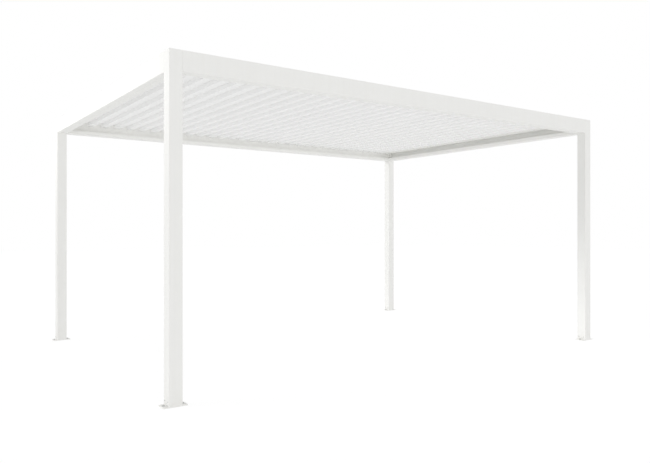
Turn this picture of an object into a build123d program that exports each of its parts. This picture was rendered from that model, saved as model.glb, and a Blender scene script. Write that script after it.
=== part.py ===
from build123d import *
import os

# White aluminium pergola with a closed roof of turning louvres, in millimetres.
# The origin is on the ground under the middle of the roof. +X runs along the long
# side to the right, -Y is the front, and +Z is up.

# Outside sizes of the frame
frame_length = 5000.0
frame_depth = 3500.0
frame_height = 2500.0

# Posts: square tubes, one at each corner
post_size = 100.0
post_wall = 3.0
corner_radius = 2.0

# Caps that close the posts at the top
cap_thickness = 3.0
cap_plug_depth = 12.0
cap_plug_clearance = 0.3
cap_chamfer = 1.0

# Foot plates, with an ear on the left and on the right of each post
plate_thickness = 8.0
plate_ear = 40.0
anchor_hole_radius = 6.0
anchor_hole_edge = 20.0

# Spigots: short tubes on the foot plates, over which the posts stand
spigot_height = 60.0
spigot_wall = 4.0
spigot_clearance = 0.3

# Beams: hollow boxes flush with the outer faces and the tops of the posts
beam_height = 150.0
beam_thickness = 50.0
beam_wall = 3.0

# Gutters: open troughs on the inner side of the beams, flush with the posts
gutter_lip_height = 38.0
gutter_back_height = 20.0
gutter_wall = 3.0

# Louvres: hollow blades from front to back, each with a lip over the next one
louvre_count = 31
louvre_top_drop = 3.0
louvre_thickness = 41.0
louvre_wall = 2.0
louvre_edge_radius = 3.0
flat_width = 60.0
slope_gap = 28.0
lip_thickness = 4.0
lip_overlap = 22.0
nose_length = 17.0
edge_height = 28.0
rebate_rise = 3.0
rebate_width = 24.0
rebate_run = 14.0
louvre_end_gap = 25.0
end_cap_thickness = 4.0

# Pivots of the louvres, in the inner walls of the front and back beams
pivot_offset = 80.0
pivot_height = 24.0
pin_radius = 5.0
pin_clearance = 0.1
pin_projection = 12.0

# Fixed infills beside the first and last louvres. Their widths are counted from the
# gutters' inner edges, and their drips stand over the gutters.
left_infill_width = 90.0
left_infill_flat = 10.0
right_infill_width = 60.0
right_infill_drip = 10.0
infill_flange_height = 22.0
infill_flange_wall = 3.0
infill_notch_clearance = 1.0

# Places of the frame, worked out from the sizes above
half_length = frame_length / 2
half_depth = frame_depth / 2
beam_bottom = frame_height - beam_height
long_beam_length = frame_length - 2 * post_size
side_beam_length = frame_depth - 2 * post_size
beam_face_x = half_length - beam_thickness
beam_face_y = half_depth - beam_thickness
gutter_width = post_size - beam_thickness
roof_edge_x = beam_face_x - gutter_width
post_centre_x = half_length - post_size / 2
post_centre_y = half_depth - post_size / 2
post_top = frame_height - cap_thickness
plate_length = post_size + 2 * plate_ear

# Places of the louvres, each given by its left edge
louvre_bottom = frame_height - louvre_top_drop - louvre_thickness
louvre_length = 2 * (beam_face_y - louvre_end_gap)
first_louvre_x = left_infill_width - roof_edge_x
end_louvre_x = roof_edge_x - right_infill_width
louvre_pitch = (end_louvre_x - first_louvre_x) / louvre_count
louvre_places = [first_louvre_x + number * louvre_pitch for number in range(louvre_count)]

corners = {
    "front_left": (-1, -1),
    "front_right": (1, -1),
    "back_left": (-1, 1),
    "back_right": (1, 1),
}

os.makedirs("parts", exist_ok=True)


# A plane that faces the front, at a given place from front to back
def upright_plane(y):
    return Plane.XZ.offset(-y)


# A level plane over the middle of a corner's post
def corner_plane(side, end, z):
    return Plane((side * post_centre_x, end * post_centre_y, z))


# Foot plate with an anchor hole in each ear
def make_foot_plate(side, end):
    with BuildPart() as foot_plate:
        with BuildSketch(corner_plane(side, end, 0)):
            RectangleRounded(plate_length, post_size, radius=corner_radius)
        extrude(amount=plate_thickness)
        with Locations(corner_plane(side, end, plate_thickness)):
            with GridLocations(plate_length - 2 * anchor_hole_edge, post_size, 2, 1):
                Hole(radius=anchor_hole_radius)
    return foot_plate


# Post tube, from the foot plate to the cap
def make_post(side, end):
    with BuildPart() as post:
        with BuildSketch(corner_plane(side, end, plate_thickness)):
            RectangleRounded(post_size, post_size, radius=corner_radius)
            Rectangle(post_size - 2 * post_wall, post_size - 2 * post_wall, mode=Mode.SUBTRACT)
        extrude(amount=post_top - plate_thickness)
    return post


for corner, (side, end) in corners.items():
    foot_plate = make_foot_plate(side, end)
    foot_plate.part.label = f"foot_plate_{corner}"
    export_step(foot_plate.part, f"parts/foot_plate_{corner}.step")

    post = make_post(side, end)
    post.part.label = f"post_{corner}"
    export_step(post.part, f"parts/post_{corner}.step")

# Spigots inside the feet of the posts, four alike
post_bore = post_size - 2 * post_wall
spigot_size = post_bore - 2 * spigot_clearance
with BuildPart() as post_spigots:
    with BuildSketch(Plane.XY.offset(plate_thickness)):
        with GridLocations(2 * post_centre_x, 2 * post_centre_y, 2, 2):
            Rectangle(spigot_size, spigot_size)
            Rectangle(spigot_size - 2 * spigot_wall, spigot_size - 2 * spigot_wall, mode=Mode.SUBTRACT)
    extrude(amount=spigot_height)
post_spigots.part.label = "post_spigots"
export_step(post_spigots.part, "parts/post_spigots.step")

# Post caps: a cover plate and a plug in the tube, four alike
plug_size = post_bore - 2 * cap_plug_clearance
with BuildPart() as post_caps:
    with BuildSketch(Plane.XY.offset(post_top)):
        with GridLocations(2 * post_centre_x, 2 * post_centre_y, 2, 2):
            RectangleRounded(post_size, post_size, radius=corner_radius)
    extrude(amount=cap_thickness)
    chamfer(post_caps.faces().filter_by(Axis.Z).group_by(Axis.Z)[-1].edges(), length=cap_chamfer)
    with BuildSketch(Plane.XY.offset(post_top)):
        with GridLocations(2 * post_centre_x, 2 * post_centre_y, 2, 2):
            Rectangle(plug_size, plug_size)
    extrude(amount=-cap_plug_depth)
post_caps.part.label = "post_caps"
export_step(post_caps.part, "parts/post_caps.step")


# Hollow beam between two posts. Its section is drawn on the plane at one end, and
# across is the place of the beam's middle on that plane.
def make_beam(section, across, length):
    with BuildPart() as beam:
        with BuildSketch(section):
            with Locations((across, beam_bottom + beam_height / 2)):
                RectangleRounded(beam_thickness, beam_height, radius=corner_radius)
                Rectangle(beam_thickness - 2 * beam_wall, beam_height - 2 * beam_wall, mode=Mode.SUBTRACT)
        extrude(amount=length)
    return beam


# Gutter along a beam's inner face: an upstand on the beam, a floor, and a lip.
# inwards is 1 or -1, the way from the beam to the middle of the roof.
def make_gutter(section, beam_face, inwards, length):
    steps = [
        (0, gutter_back_height),
        (0, 0),
        (gutter_width, 0),
        (gutter_width, gutter_lip_height),
        (gutter_width - gutter_wall, gutter_lip_height),
        (gutter_width - gutter_wall, gutter_wall),
        (gutter_wall, gutter_wall),
        (gutter_wall, gutter_back_height),
    ]
    with BuildPart() as gutter:
        with BuildSketch(section):
            with BuildLine():
                Polyline(*[(beam_face + inwards * across, beam_bottom + up) for across, up in steps], close=True)
            make_face()
        extrude(amount=length)
    return gutter


# Front and back, with a bore for each louvre pin in the beam's inner wall
for name, end in (("front", -1), ("back", 1)):
    section = Plane.YZ.offset(-long_beam_length / 2)
    box = make_beam(section, end * (half_depth - beam_thickness / 2), long_beam_length)
    with BuildPart() as beam:
        add(box.part)
        with BuildSketch(upright_plane(end * beam_face_y)):
            with Locations(*[(left_x + pivot_offset, louvre_bottom + pivot_height) for left_x in louvre_places]):
                Circle(pin_radius + pin_clearance)
        extrude(amount=-end * beam_wall, mode=Mode.SUBTRACT)
    beam.part.label = f"{name}_beam"
    export_step(beam.part, f"parts/{name}_beam.step")

    gutter = make_gutter(section, end * beam_face_y, -end, long_beam_length)
    gutter.part.label = f"{name}_gutter"
    export_step(gutter.part, f"parts/{name}_gutter.step")

# Left and right
for name, side in (("left", -1), ("right", 1)):
    section = upright_plane(side_beam_length / 2)
    beam = make_beam(section, side * (half_length - beam_thickness / 2), side_beam_length)
    beam.part.label = f"{name}_beam"
    export_step(beam.part, f"parts/{name}_beam.step")

    gutter = make_gutter(section, side * beam_face_x, -side, side_beam_length)
    gutter.part.label = f"{name}_gutter"
    export_step(gutter.part, f"parts/{name}_gutter.step")

# The two sides of a louvre's outline, across from its left edge and up from its
# underside: the left edge with its rebate, and the slope that ends in the lip
lip_underside = louvre_thickness - lip_thickness
slope_end = louvre_pitch - slope_gap
lip_tip = louvre_pitch + lip_overlap
left_edge = [
    (rebate_width + rebate_run, louvre_thickness),
    (rebate_width, edge_height + rebate_rise),
    (0, edge_height),
    (0, 0),
]
lip_slope = [
    (flat_width, 0),
    (slope_end, lip_underside),
    (lip_tip, lip_underside),
    (lip_tip, louvre_thickness),
]

# The chamber stops short of the lip, where the slope meets the solid nose
chamber_end = slope_end - nose_length
chamber_slope = [
    (flat_width, 0),
    (chamber_end, lip_underside * (chamber_end - flat_width) / (slope_end - flat_width)),
    (chamber_end, louvre_thickness),
]


# Moves the points of an outline across, to the place of a louvre or an infill
def shifted(outline, left_x):
    return [(left_x + across, up) for across, up in outline]


# Hollow profile with closed ends: its outline, less a chamber inside the walls
def make_blade(outline, chamber):
    with BuildPart() as blade:
        with BuildSketch(upright_plane(louvre_length / 2)) as profile:
            with BuildLine():
                Polyline(*[(across, louvre_bottom + up) for across, up in outline], close=True)
            make_face()
            fillet(profile.vertices().group_by(Axis.Y)[0], radius=louvre_edge_radius)
        extrude(amount=louvre_length)
        with BuildSketch(upright_plane(louvre_length / 2 - end_cap_thickness)):
            with BuildLine():
                Polyline(*[(across, louvre_bottom + up) for across, up in chamber], close=True)
            make_face()
            offset(amount=-louvre_wall, kind=Kind.INTERSECTION, mode=Mode.REPLACE)
        extrude(amount=louvre_length - 2 * end_cap_thickness, mode=Mode.SUBTRACT)
    return blade


# Louvre with a pivot pin at each end
def make_louvre(left_x):
    blade = make_blade(shifted(left_edge + lip_slope, left_x), shifted(left_edge + chamber_slope, left_x))
    with BuildPart() as louvre:
        add(blade.part)
        for end in (-1, 1):
            with BuildSketch(upright_plane(end * louvre_length / 2)):
                with Locations((left_x + pivot_offset, louvre_bottom + pivot_height)):
                    Circle(pin_radius)
            extrude(amount=-end * (louvre_end_gap + pin_projection))
    return louvre


for number, left_x in enumerate(louvre_places, start=1):
    louvre = make_louvre(left_x)
    louvre.part.label = f"louvre_{number:02d}"
    export_step(louvre.part, f"parts/louvre_{number:02d}.step")

# Side infills: the left one ends in a lip over the first louvre, and the right one
# has the edge that the last louvre's lip lies over. Each hangs from its side beam
# by an arm over the gutter, with a flange on the beam's inner face.
left_of_lip = first_louvre_x - louvre_pitch
left_drip_x = left_of_lip + flat_width - left_infill_flat
right_drip_x = roof_edge_x + right_infill_drip
arm_underside = louvre_thickness - infill_flange_wall
flange_bottom = louvre_thickness - infill_flange_height
flange = [
    (beam_face_x - infill_flange_wall, arm_underside),
    (beam_face_x - infill_flange_wall, flange_bottom),
    (beam_face_x, flange_bottom),
    (beam_face_x, louvre_thickness),
]
left_arm = [(-across, up) for across, up in reversed(flange)] + [(left_drip_x, arm_underside)]
left_outline = left_arm + [(left_drip_x, 0)] + shifted(lip_slope, left_of_lip)
left_chamber = [(left_drip_x, louvre_thickness), (left_drip_x, 0)] + shifted(chamber_slope, left_of_lip)
right_arm = [(right_drip_x, arm_underside)] + flange
right_outline = shifted(left_edge, end_louvre_x) + [(right_drip_x, 0)] + right_arm
right_chamber = shifted(left_edge, end_louvre_x) + [(right_drip_x, 0), (right_drip_x, louvre_thickness)]
left_infill = make_blade(left_outline, left_chamber)
right_infill = make_blade(right_outline, right_chamber)

notch_size = post_size + 2 * infill_notch_clearance
with BuildPart() as side_infills:
    add(left_infill.part)
    add(right_infill.part)
    with BuildSketch(Plane.XY.offset(beam_bottom)):
        with GridLocations(2 * post_centre_x, 2 * post_centre_y, 2, 2):
            Rectangle(notch_size, notch_size)
    extrude(amount=beam_height, mode=Mode.SUBTRACT)
side_infills.part.label = "side_infills"
export_step(side_infills.part, "parts/side_infills.step")
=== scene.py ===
import math

import bmesh
import bpy
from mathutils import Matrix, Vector


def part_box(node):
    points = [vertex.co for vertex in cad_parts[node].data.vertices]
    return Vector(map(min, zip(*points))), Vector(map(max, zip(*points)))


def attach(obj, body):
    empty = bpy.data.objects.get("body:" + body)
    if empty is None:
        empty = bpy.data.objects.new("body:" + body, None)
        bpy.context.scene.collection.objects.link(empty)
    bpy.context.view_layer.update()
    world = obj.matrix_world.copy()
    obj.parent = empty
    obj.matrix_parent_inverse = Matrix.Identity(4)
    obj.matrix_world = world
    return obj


# White pergola with a roof of turning louvres. Metres, floor at z = 0, front towards -Y,
# louvres running from front to back.

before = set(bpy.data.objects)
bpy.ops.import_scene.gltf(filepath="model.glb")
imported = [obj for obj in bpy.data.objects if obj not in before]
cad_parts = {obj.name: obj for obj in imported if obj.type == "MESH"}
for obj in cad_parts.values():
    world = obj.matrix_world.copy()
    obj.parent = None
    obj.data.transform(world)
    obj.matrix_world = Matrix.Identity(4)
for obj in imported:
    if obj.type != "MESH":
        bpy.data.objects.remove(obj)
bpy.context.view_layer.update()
print("frame loaded:", len(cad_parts), "nodes")

mm = 0.001
white = (1.0, 1.0, 1.0, 1.0)
mergeDistance = 0.001 * mm
ringTolerance = 0.01 * mm

cornerNames = ("front_left", "front_right", "back_left", "back_right")
louvreNames = sorted(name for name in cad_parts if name.startswith("louvre_"))
louvreEdges = [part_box(name)[0][0] for name in louvreNames]  # their left edges
louvrePitch = louvreEdges[1] - louvreEdges[0]
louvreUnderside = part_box(louvreNames[0])[0][2]


def linearColour(hexColour):
    # sRGB hex to the linear values that the shaders want
    channels = [int(hexColour[i:i + 2], 16) / 255 for i in (1, 3, 5)]
    return [c / 12.92 if c <= 0.04045 else ((c + 0.055) / 1.055) ** 2.4 for c in channels] + [1.0]


def patternScale(size):
    # a noise's scale from the real size of its spots, in mm
    return 1.0 / (size * mm)


def addNode(tree, kind, settings={}, links={}):
    # settings go to the node's properties or sockets, links say which output feeds a socket
    node = tree.nodes.new(kind)
    for name, value in settings.items():
        if isinstance(name, str) and hasattr(node, name):
            setattr(node, name, value)
        else:
            node.inputs[name].default_value = value
    for name, source in links.items():
        tree.links.new(source, node.inputs[name])
    return node


def newMaterial(name):
    material = bpy.data.materials.new(name)
    material.use_nodes = True
    material.node_tree.nodes.clear()
    return material, material.node_tree


# Camera, fitted to the edges of the posts and beams in the picture. It is held level.

cameraSet = {
    "place": (-4.1425, -6.0030, 1.2143),
    "turn": -34.826,         # degrees from +Y, anticlockwise seen from above
    "sensorWidth": 36.0,     # mm
    "focalPixels": 639.36,
    "picture": (650, 463),
    "horizonRow": 233.15,    # row of the horizon, counted from the picture's top
    "clip": (0.1, 200.0),
}


def makeCamera(values):
    width, height = values["picture"]
    data = bpy.data.cameras.new("camera")
    data.sensor_fit = "HORIZONTAL"
    data.sensor_width = values["sensorWidth"]
    data.lens = values["focalPixels"] * values["sensorWidth"] / width
    data.shift_y = (values["horizonRow"] - height / 2) / width
    data.clip_start, data.clip_end = values["clip"]
    camera = bpy.data.objects.new("camera", data)
    camera.location = values["place"]
    camera.rotation_euler = (math.radians(90.0), 0.0, math.radians(values["turn"]))
    bpy.context.scene.collection.objects.link(camera)
    bpy.context.scene.camera = camera


makeCamera(cameraSet)
print("camera placed")


# Studio: a pale floor that is also lit from beneath, soft light from all round, a low soft key
# from the left, a strip light high on the left, and a wide soft box low and far in front,
# which reaches in under the beams

studio = {
    "floorSize": 80.0,
    "floorColour": "#C4C4C3",
    "floorSeen": "#E0E0E0",  # to the camera, so that the open floor is just white
    "floorLight": 0.40,      # lit from beneath, as a light table is
    "floorGlow": 0.70,       # how much of the floor the camera sees as plain white
    "skyLevel": 0.694,
    "skyLean": (0.09, 0.0, 0.13),  # a little brighter towards the right and the top
    "keyPlace": (0.0, 0.0, 5.0),   # a sun shines alike from any place
    "keyStrength": 0.78,
    "keyAngle": 14.0,
    "keyHeading": 160.0,     # degrees from +X, where the key comes from
    "keyHeight": 15.0,       # degrees over the horizon
    "stripPlace": (-5.5, 0.2, 3.6),
    "stripSize": (0.3, 3.6),       # the long side runs from front to back
    "stripTilt": 67.0,       # degrees from straight down towards +X
    "stripSpread": 32.0,
    "stripPower": 3.4,
    "fillPlace": (0.0, -30.0, 0.9),
    "fillSize": (16.0, 1.4),
    "fillTurn": (90.0, 0.0, 0.0),
    "fillPower": 820.0,
    "bounces": 10,           # light goes round a white trough many times
}


def makeSky(values):
    # soft light for the object, but plain white to the camera, in reflections and through glass
    world = bpy.data.worlds.new("softStudio")
    world.use_nodes = True
    tree = world.node_tree
    tree.nodes.clear()
    direction = addNode(tree, "ShaderNodeTexCoord")
    lean = addNode(tree, "ShaderNodeVectorMath", {"operation": "DOT_PRODUCT", 1: values["skyLean"]},
                   {0: direction.outputs["Generated"]})
    level = addNode(tree, "ShaderNodeMath", {"operation": "ADD", 1: values["skyLevel"]},
                    {0: lean.outputs["Value"]})
    light = addNode(tree, "ShaderNodeBackground", {"Color": white}, {"Strength": level.outputs["Value"]})
    backdrop = addNode(tree, "ShaderNodeBackground", {"Color": white, "Strength": 1.0})
    ray = addNode(tree, "ShaderNodeLightPath")
    seen = addNode(tree, "ShaderNodeMath", {"operation": "MAXIMUM"},
                   {0: ray.outputs["Is Camera Ray"], 1: ray.outputs["Is Glossy Ray"]})
    clear = addNode(tree, "ShaderNodeMath", {"operation": "MAXIMUM"},
                    {0: seen.outputs["Value"], 1: ray.outputs["Is Transmission Ray"]})
    mix = addNode(tree, "ShaderNodeMixShader", {}, {
        "Fac": clear.outputs["Value"], 1: light.outputs["Background"], 2: backdrop.outputs["Background"],
    })
    addNode(tree, "ShaderNodeOutputWorld", {}, {"Surface": mix.outputs["Shader"]})
    bpy.context.scene.world = world


def makeFloor(values):
    # pale paint that is also lit from beneath, mostly plain white to the camera
    material, tree = newMaterial("paleStudioFloor")
    ray = addNode(tree, "ShaderNodeLightPath")
    colour = addNode(tree, "ShaderNodeMixRGB", {
        "Color1": linearColour(values["floorColour"]), "Color2": linearColour(values["floorSeen"]),
    }, {"Fac": ray.outputs["Is Camera Ray"]})
    paint = addNode(tree, "ShaderNodeBsdfDiffuse", {}, {"Color": colour.outputs["Color"]})
    table = addNode(tree, "ShaderNodeEmission", {"Color": white, "Strength": values["floorLight"]})
    both = addNode(tree, "ShaderNodeAddShader", {}, {0: paint.outputs["BSDF"], 1: table.outputs["Emission"]})
    glow = addNode(tree, "ShaderNodeEmission", {"Color": white, "Strength": 1.0})
    share = addNode(tree, "ShaderNodeMath", {"operation": "MULTIPLY", 1: values["floorGlow"]},
                    {0: ray.outputs["Is Camera Ray"]})
    mix = addNode(tree, "ShaderNodeMixShader", {}, {
        "Fac": share.outputs["Value"], 1: both.outputs["Shader"], 2: glow.outputs["Emission"],
    })
    addNode(tree, "ShaderNodeOutputMaterial", {}, {"Surface": mix.outputs["Shader"]})

    bm = bmesh.new()
    bmesh.ops.create_grid(bm, x_segments=1, y_segments=1, size=values["floorSize"] / 2)
    mesh = bpy.data.meshes.new("floor")
    bm.to_mesh(mesh)
    bm.free()
    mesh.materials.append(material)
    floor = bpy.data.objects.new("floor", mesh)
    bpy.context.scene.collection.objects.link(floor)


def hangLamp(name, kind, place, turn, settings):
    light = bpy.data.lights.new(name, kind)
    for setting, value in settings.items():
        setattr(light, setting, value)
    lamp = bpy.data.objects.new(name, light)
    lamp.location = place
    lamp.rotation_euler = [math.radians(angle) for angle in turn]
    lamp.visible_camera = False
    lamp.visible_glossy = False
    bpy.context.scene.collection.objects.link(lamp)


def makeLamps(values):
    # an unturned lamp shines straight down
    keyTurn = (90.0 - values["keyHeight"], 0.0, values["keyHeading"] + 90.0)
    stripTurn = (0.0, -values["stripTilt"], 0.0)
    hangLamp("key", "SUN", values["keyPlace"], keyTurn, {
        "energy": values["keyStrength"], "angle": math.radians(values["keyAngle"]),
    })
    hangLamp("strip", "AREA", values["stripPlace"], stripTurn, {
        "shape": "RECTANGLE", "size": values["stripSize"][0], "size_y": values["stripSize"][1],
        "energy": values["stripPower"], "spread": math.radians(values["stripSpread"]),
    })
    hangLamp("frontFill", "AREA", values["fillPlace"], values["fillTurn"], {
        "shape": "RECTANGLE", "size": values["fillSize"][0], "size_y": values["fillSize"][1],
        "energy": values["fillPower"],
    })


makeSky(studio)
makeFloor(studio)
makeLamps(studio)
bpy.context.scene.cycles.diffuse_bounces = studio["bounces"]
bpy.context.scene.view_settings.view_transform = "Standard"
print("studio lit")


# Fine-texture polyester powder coat, baked onto extruded aluminium. It is a matt, slightly
# warm white with a grain of small bumps. Out of doors it takes a little dust on what faces
# up, splashes at the feet and faint runs where rain drains down.

frameCoat = {
    "colour": "#F4F4F2",
    "mottleColour": "#F1F1EF",
    "mottle": 350.0,         # mm, slow changes in the coat's thickness
    "roughness": (0.51, 0.61),
    "grain": 2.5,            # mm, the real 0.3 mm drawn coarser so that it shows
    "grainHeight": 0.05,     # mm
    "grainStrength": 0.5,
    "dustColour": "#DEDBD2",
    "dust": 0.30,
    "slope": 0.5,            # Z of the normal that parts what faces up from what is upright
    "patch": 60.0,           # mm, patches of dust
    "patchRange": (0.35, 0.75),  # the noise's values for no dust and for the most
    "splash": 0.25,
    "splashHeight": 220.0,   # mm over the floor
    "runs": 0.07,
    "runWidth": 35.0,        # mm
    "runLength": 1400.0,     # mm
    "dieLines": 0.0,
    "dieSpacing": 4.0,       # mm, the real lines are finer, and drawn coarser so that they show
    "dieLength": 2000.0,     # mm
    "dieDepth": 0.05,        # mm
}

# The louvres have the same coat in a smoother, cooler white, over the fine lines that the
# extrusion die leaves along a thin profile.
louvreCoat = dict(
    frameCoat, colour="#FBFBFB", mottleColour="#F8F8F8", roughness=(0.41, 0.51), grainHeight=0.02,
    splash=0.0, runs=0.0, dust=0.22, dieLines=0.35,
)


def powderCoat(name, values):
    material, tree = newMaterial(name)
    place = addNode(tree, "ShaderNodeTexCoord")
    onPiece = {"Vector": place.outputs["Object"]}
    facing = addNode(tree, "ShaderNodeSeparateXYZ", {}, {0: place.outputs["Normal"]})
    level = addNode(tree, "ShaderNodeSeparateXYZ", {}, {0: place.outputs["Object"]})

    mottle = addNode(tree, "ShaderNodeTexNoise", {
        "Scale": patternScale(values["mottle"]), "Detail": 3.0,
    }, onPiece)
    grain = addNode(tree, "ShaderNodeTexNoise", {
        "Scale": patternScale(values["grain"]), "Detail": 2.0,
    }, onPiece)
    patches = addNode(tree, "ShaderNodeTexNoise", {
        "Scale": patternScale(values["patch"]), "Detail": 4.0,
    }, onPiece)

    colour = addNode(tree, "ShaderNodeMixRGB", {
        "Color1": linearColour(values["colour"]), "Color2": linearColour(values["mottleColour"]),
    }, {"Fac": mottle.outputs["Fac"]})

    # dust on what faces up, splashes low down, and runs on what is upright
    upward = addNode(tree, "ShaderNodeMapRange", {
        "From Min": values["slope"], "From Max": 1.0, "To Max": values["dust"],
    }, {"Value": facing.outputs["Z"]})
    masks = [(upward, patches)]
    if values["splash"]:
        low = addNode(tree, "ShaderNodeMapRange", {
            "From Min": values["splashHeight"] * mm, "From Max": 0.0, "To Max": values["splash"],
        }, {"Value": level.outputs["Z"]})
        masks.append((low, patches))
    if values["runs"]:
        stretch = addNode(tree, "ShaderNodeMapping", {
            "Scale": (1.0, 1.0, values["runWidth"] / values["runLength"]),
        }, onPiece)
        streaks = addNode(tree, "ShaderNodeTexNoise", {
            "Scale": patternScale(values["runWidth"]), "Detail": 2.0,
        }, {"Vector": stretch.outputs["Vector"]})
        upright = addNode(tree, "ShaderNodeMath", {"operation": "ABSOLUTE"}, {0: facing.outputs["Z"]})
        side = addNode(tree, "ShaderNodeMapRange", {
            "From Min": values["slope"], "From Max": 0.0, "To Max": values["runs"],
        }, {"Value": upright.outputs["Value"]})
        masks.append((side, streaks))
    least, most = values["patchRange"]
    for where, pattern in masks:
        spread = addNode(tree, "ShaderNodeMapRange", {"From Min": least, "From Max": most},
                         {"Value": pattern.outputs["Fac"]})
        amount = addNode(tree, "ShaderNodeMath", {"operation": "MULTIPLY"},
                         {0: where.outputs["Result"], 1: spread.outputs["Result"]})
        colour = addNode(tree, "ShaderNodeMixRGB", {"Color2": linearColour(values["dustColour"])},
                         {"Fac": amount.outputs["Value"], "Color1": colour.outputs["Color"]})

    smooth, rough = values["roughness"]
    gloss = addNode(tree, "ShaderNodeMapRange", {"To Min": smooth, "To Max": rough},
                    {"Value": mottle.outputs["Fac"]})
    bump = addNode(tree, "ShaderNodeBump", {
        "Strength": values["grainStrength"], "Distance": values["grainHeight"] * mm,
    }, {"Height": grain.outputs["Fac"]})
    if values["dieLines"]:
        along = addNode(tree, "ShaderNodeMapping", {
            "Scale": (1.0, values["dieSpacing"] / values["dieLength"], 1.0),
        }, onPiece)
        lines = addNode(tree, "ShaderNodeTexNoise", {
            "Scale": patternScale(values["dieSpacing"]), "Detail": 1.0,
        }, {"Vector": along.outputs["Vector"]})
        bump = addNode(tree, "ShaderNodeBump", {
            "Strength": values["dieLines"], "Distance": values["dieDepth"] * mm,
        }, {"Height": lines.outputs["Fac"], "Normal": bump.outputs["Normal"]})
    coat = addNode(tree, "ShaderNodeBsdfPrincipled", {"IOR": 1.5}, {
        "Base Color": colour.outputs["Color"], "Roughness": gloss.outputs["Result"],
        "Normal": bump.outputs["Normal"],
    })
    addNode(tree, "ShaderNodeOutputMaterial", {}, {"Surface": coat.outputs["BSDF"]})
    return material


frameMaterial = powderCoat("fineTexturePowderCoat", frameCoat)
louvreMaterial = powderCoat("smoothPowderCoat", louvreCoat)
for name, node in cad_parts.items():
    node.data.materials.clear()
    node.data.materials.append(louvreMaterial if name in louvreNames else frameMaterial)
print("powder coat on", len(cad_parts), "nodes")


# Small hardware. Each piece is modelled in place, so its object stays at the origin.

def finishPiece(name, bm, material, body):
    bmesh.ops.remove_doubles(bm, verts=bm.verts[:], dist=mergeDistance)
    bmesh.ops.recalc_face_normals(bm, faces=bm.faces[:])
    mesh = bpy.data.meshes.new(name)
    bm.to_mesh(mesh)
    bm.free()
    mesh.materials.append(material)
    piece = bpy.data.objects.new(name, mesh)
    bpy.context.scene.collection.objects.link(piece)
    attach(piece, body)


def turned(bm, profile, segments, place, axis, hexRadius=0.0):
    # spins (radius, height) points, in mm, about an axis; a ring at hexRadius becomes a hexagon
    turn = Vector((0.0, 0.0, 1.0)).rotation_difference(Vector(axis)).to_matrix()
    sixth = math.tau / 6
    start = len(bm.verts)
    points = [bm.verts.new(Vector((radius * mm, 0.0, height * mm))) for radius, height in profile]
    edges = [bm.edges.new(pair) for pair in zip(points, points[1:])]
    bmesh.ops.spin(bm, geom=points + edges, cent=(0, 0, 0), axis=(0, 0, 1),
                   angle=math.tau, steps=segments, use_merge=True)
    bm.verts.ensure_lookup_table()
    for vert in bm.verts[start:]:
        if hexRadius and abs(vert.co.xy.length - hexRadius * mm) < ringTolerance:
            angle = math.atan2(vert.co.y, vert.co.x) % sixth - sixth / 2
            vert.co.xy = vert.co.xy / math.cos(angle)
        vert.co = turn @ vert.co + Vector(place)


def socketHead(values):
    # outline of a screw head, flat underneath, with a socket sunk in its crown
    rim, rise, socket = values["headRadius"], values["headHeight"], values["socketRadius"]
    bottom = rise - values["socketDepth"]
    crown = [(rim * across, rise * up) for across, up in values["crown"]]
    return [(0.0, 0.0)] + crown + [(socket, rise), (socket, bottom), (0.0, bottom)]


# Bright zinc plate on pressed steel: a light, slightly blue grey metal with a soft shine that
# changes from spot to spot
zincPlate = {
    "colour": "#DADBDB",
    "dullColour": "#C3C4C3",
    "roughness": (0.28, 0.48),
    "crystal": 1.2,          # mm, spots of brighter and duller plate
}


def zincPlated(name, values):
    material, tree = newMaterial(name)
    place = addNode(tree, "ShaderNodeTexCoord")
    crystals = addNode(tree, "ShaderNodeTexNoise", {"Scale": patternScale(values["crystal"]), "Detail": 2.0},
                       {"Vector": place.outputs["Object"]})
    smooth, rough = values["roughness"]
    gloss = addNode(tree, "ShaderNodeMapRange", {"To Min": smooth, "To Max": rough},
                    {"Value": crystals.outputs["Fac"]})
    tone = addNode(tree, "ShaderNodeMixRGB", {
        "Color1": linearColour(values["colour"]), "Color2": linearColour(values["dullColour"]),
    }, {"Fac": crystals.outputs["Fac"]})
    plate = addNode(tree, "ShaderNodeBsdfPrincipled", {"Metallic": 1.0},
                    {"Base Color": tone.outputs["Color"], "Roughness": gloss.outputs["Result"]})
    addNode(tree, "ShaderNodeOutputMaterial", {}, {"Surface": plate.outputs["BSDF"]})
    return material


zincMaterial = zincPlated("brightZincPlate", zincPlate)

# M10 anchor bolts with washers, one through the middle of each ear of a foot plate. In mm, as
# are all the pieces below.
anchorBolt = {
    "washerRadius": 10.0, "washerHole": 5.4, "washerThickness": 2.0, "washerEdge": 0.4,
    "acrossFlats": 17.0, "headHeight": 6.4, "chamfer": 1.0,
    "shankRadius": 5.0, "shankDepth": 7.5,
    "earOffset": 70.0,       # from the post's middle to the bolt
    "washerSegments": 32, "boltSegments": 24,
}


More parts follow.
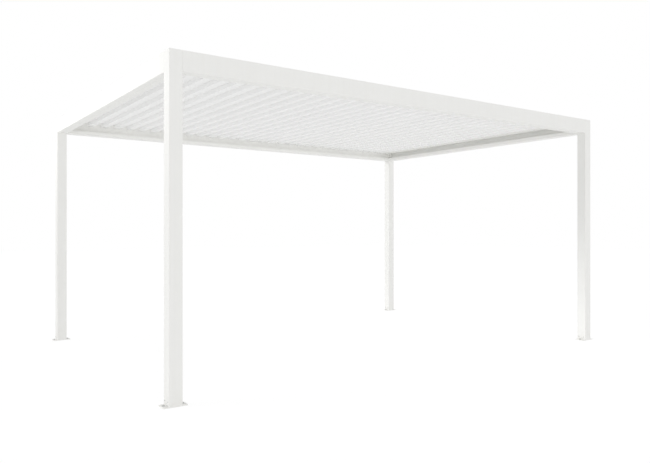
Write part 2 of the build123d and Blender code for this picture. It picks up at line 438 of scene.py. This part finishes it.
def makeAnchorBolts(values):
    hole, rim = values["washerHole"], values["washerRadius"]
    thick, edge = values["washerThickness"], values["washerEdge"]
    flat, chamfer = values["acrossFlats"] / 2, values["chamfer"]
    shank, depth = values["shankRadius"], values["shankDepth"]
    top = thick + values["headHeight"]
    washer = [(hole, 0.0), (rim - edge, 0.0), (rim, edge), (rim, thick - edge), (rim - edge, thick),
              (hole, thick), (hole, 0.0)]
    bolt = [(0.0, -depth), (shank, -depth), (shank, thick), (flat, thick), (flat, top - chamfer),
            (flat - chamfer, top), (0.0, top)]
    for corner in cornerNames:
        low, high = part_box("foot_plate_" + corner)
        middle = (Vector(low) + Vector(high)) / 2
        bm = bmesh.new()
        for side in (-1, 1):
            place = Vector((middle.x + side * values["earOffset"] * mm, middle.y, high[2]))
            turned(bm, washer, values["washerSegments"], place, (0, 0, 1))
            turned(bm, bolt, values["boltSegments"], place, (0, 0, 1), flat)
        finishPiece("anchor_bolts_" + corner, bm, zincMaterial, "frame")


# Button-head screws that hold each post on its spigot, two in the left face and two in the right
postScrew = {
    "headRadius": 5.0, "headHeight": 2.8, "socketRadius": 1.6, "socketDepth": 1.8,
    "crown": [               # (share of the head's radius, share of its height)
        (1.0, 0.0), (0.96, 0.35), (0.80, 0.72), (0.56, 0.94), (0.42, 1.0),
    ],
    "height": 38.0,          # over the floor
    "offset": 30.0,          # from the middle of the face
    "segments": 24,
}


def makePostScrews(values):
    head = socketHead(values)
    for corner in cornerNames:
        low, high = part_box("post_" + corner)
        middle = (low[1] + high[1]) / 2
        bm = bmesh.new()
        for face, way in ((low[0], -1), (high[0], 1)):
            for side in (-1, 1):
                place = (face, middle + side * values["offset"] * mm, values["height"] * mm)
                turned(bm, head, values["segments"], place, (way, 0, 0), values["socketRadius"])
        finishPiece("post_screws_" + corner, bm, zincMaterial, "frame")


# Small pan-head screws that hold a cap on each end of a louvre
capScrew = {
    "headRadius": 3.2, "headHeight": 1.8, "socketRadius": 1.2, "socketDepth": 1.0,
    "crown": [(1.0, 0.0), (0.85, 0.7), (0.5625, 1.0)],    # as on the post screws
    "places": [(14.0, 8.0), (46.0, 8.0), (112.0, 35.5)],  # (from the left edge, over the underside)
    "end": 1675.0,           # the louvres' ends, from the middle of the roof
    "segments": 8,           # few, as there are many of these
}


def makeCapScrews(values):
    head = socketHead(values)
    for name, left in zip(louvreNames, louvreEdges):
        bm = bmesh.new()
        for across, up in values["places"]:
            for way in (-1, 1):
                place = (left + across * mm, way * values["end"] * mm, louvreUnderside + up * mm)
                turned(bm, head, values["segments"], place, (0, way, 0))
        finishPiece("cap_screws_" + name[-2:], bm, zincMaterial, name)


makeAnchorBolts(anchorBolt)
makePostScrews(postScrew)
makeCapScrews(capScrew)
print("bolts and screws made")


# Soft white wiper seals under the louvres' lips. Each hangs down to the next louvre's edge and
# closes the gap to it. The first one sits on the infill strip at the left. They are extruded
# elastomer, which is matt and slightly milky, with hardly any shine.

lipSeal = {
    "colour": "#FBFBFA",
    "shadeColour": "#F6F6F5",
    "roughness": 0.6,
    "grain": 3.0,            # mm, faint clouds in the rubber
    "section": [             # (past the next louvre's edge, over the louvres' underside)
        (0.3, 37.0), (0.3, 28.1), (1.3, 28.3), (2.2, 33.6), (6.2, 34.6), (6.2, 37.0),
    ],
    "halfLength": 1672.0,
}


def softSeal(name, values):
    material, tree = newMaterial(name)
    place = addNode(tree, "ShaderNodeTexCoord")
    grain = addNode(tree, "ShaderNodeTexNoise", {"Scale": patternScale(values["grain"]), "Detail": 2.0},
                    {"Vector": place.outputs["Object"]})
    tone = addNode(tree, "ShaderNodeMixRGB", {
        "Color1": linearColour(values["colour"]), "Color2": linearColour(values["shadeColour"]),
    }, {"Fac": grain.outputs["Fac"]})
    rubber = addNode(tree, "ShaderNodeBsdfPrincipled", {"IOR": 1.5, "Roughness": values["roughness"]},
                     {"Base Color": tone.outputs["Color"]})
    addNode(tree, "ShaderNodeOutputMaterial", {}, {"Surface": rubber.outputs["BSDF"]})
    return material


def makeSeal(name, values, edge, material, body):
    half = values["halfLength"] * mm
    bm = bmesh.new()
    outline = []
    for across, up in values["section"]:
        outline.append(bm.verts.new((edge + across * mm, -half, louvreUnderside + up * mm)))
    end = bm.faces.new(outline)
    made = bmesh.ops.extrude_face_region(bm, geom=[end], use_keep_orig=True)
    moved = [item for item in made["geom"] if isinstance(item, bmesh.types.BMVert)]
    bmesh.ops.translate(bm, vec=(0.0, 2 * half, 0.0), verts=moved)
    finishPiece(name, bm, material, body)


sealMaterial = softSeal("softLipSeal", lipSeal)
makeSeal("lip_seal_infill", lipSeal, louvreEdges[0], sealMaterial, "frame")
for name, edge in zip(louvreNames, louvreEdges):
    makeSeal("lip_seal_" + name[-2:], lipSeal, edge + louvrePitch, sealMaterial, name)
print("lip seals made")


# White flange bushings that the louvres' pins turn in, along the front and back beams. They
# are moulded nylon, which is milky and a little yellow, with a dull shine.

bushing = {
    "colour": "#E4E2DC",
    "cloudColour": "#D6D3CA",
    "cloud": 8.0,            # mm, faint clouds in the moulding
    "roughness": 0.5,
    "hole": 5.05, "flange": 11.0, "flangeThickness": 2.5, "flangeEdge": 0.5,
    "pivotOffset": 80.0,     # from a louvre's left edge
    "pivotHeight": 24.0,     # over the louvres' underside
    "segments": 20,
}


def nylon(name, values):
    material, tree = newMaterial(name)
    place = addNode(tree, "ShaderNodeTexCoord")
    cloud = addNode(tree, "ShaderNodeTexNoise", {"Scale": patternScale(values["cloud"]), "Detail": 2.0},
                    {"Vector": place.outputs["Object"]})
    tone = addNode(tree, "ShaderNodeMixRGB", {
        "Color1": linearColour(values["colour"]), "Color2": linearColour(values["cloudColour"]),
    }, {"Fac": cloud.outputs["Fac"]})
    plastic = addNode(tree, "ShaderNodeBsdfPrincipled", {"IOR": 1.53, "Roughness": values["roughness"]},
                      {"Base Color": tone.outputs["Color"]})
    addNode(tree, "ShaderNodeOutputMaterial", {}, {"Surface": plastic.outputs["BSDF"]})
    return material


def makeBushings(values):
    material = nylon("nylonBushing", values)
    hole, flange = values["hole"], values["flange"]
    thick, edge = values["flangeThickness"], values["flangeEdge"]
    collar = [(hole, 0.0), (flange, 0.0), (flange, thick - edge), (flange - edge, thick),
              (hole, thick), (hole, 0.0)]
    height = louvreUnderside + values["pivotHeight"] * mm
    innerFaces = {"front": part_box("front_beam")[1][1], "back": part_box("back_beam")[0][1]}
    for side, way in (("front", 1), ("back", -1)):
        bm = bmesh.new()
        for left in louvreEdges:
            place = (left + values["pivotOffset"] * mm, innerFaces[side], height)
            turned(bm, collar, values["segments"], place, (0, way, 0))
        finishPiece("pivot_bushings_" + side, bm, material, "frame")


makeBushings(bushing)
print("pivot bushings made")
